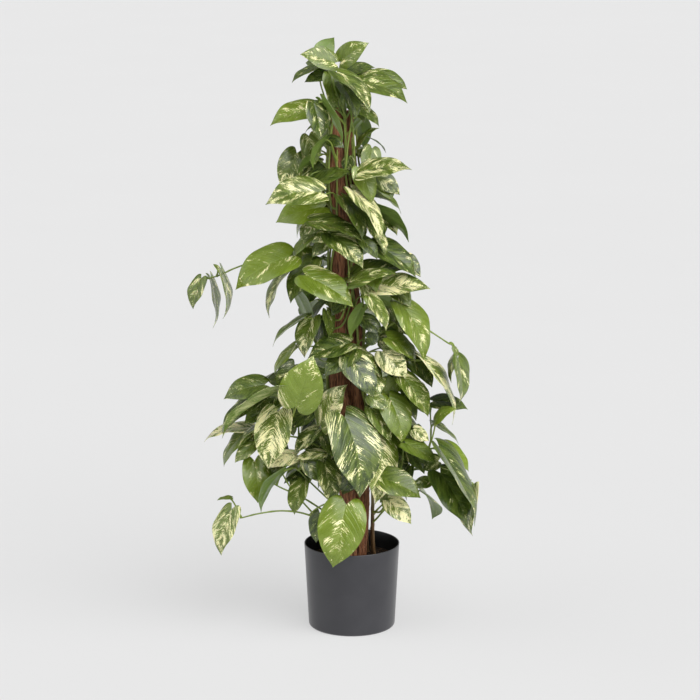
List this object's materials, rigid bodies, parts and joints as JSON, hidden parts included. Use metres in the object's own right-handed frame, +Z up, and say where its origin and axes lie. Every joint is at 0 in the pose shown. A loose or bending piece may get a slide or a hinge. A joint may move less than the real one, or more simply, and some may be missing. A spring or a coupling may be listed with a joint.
{
  "type": "potted climbing pothos",
  "caption": "Climbing pothos with cream-marbled heart-shaped leaves on two bark-covered trunks, standing in a plain round black pot.",
  "frame": {"origin": "centre of the pot's underside", "axes": "+Z up along the plant, -Y the side the plant faces, +X to the right seen from the front"},
  "size_m": [0.5842, 0.3378, 1.1973],
  "materials": {
    "pot_plastic": "satin charcoal, moulded",
    "soil": "loose dark potting soil with crumbs and bark",
    "bark": "red-brown fibrous bark, rough",
    "foliage": "waxy green leaf with cream marbling along the side veins, pale green stalks"
  },
  "bodies": {
    "root": {"pot": "pot_plastic", "soil": "soil", "trunk_front": "bark", "trunk_back": "bark", "vine_1": "foliage", "vine_2": "foliage", "vine_3": "foliage", "vine_4": "foliage", "vine_5": "foliage", "vine_6": "foliage", "vine_7": "foliage", "vine_8": "foliage", "vine_9": "foliage"}
  },
  "joints": []
}
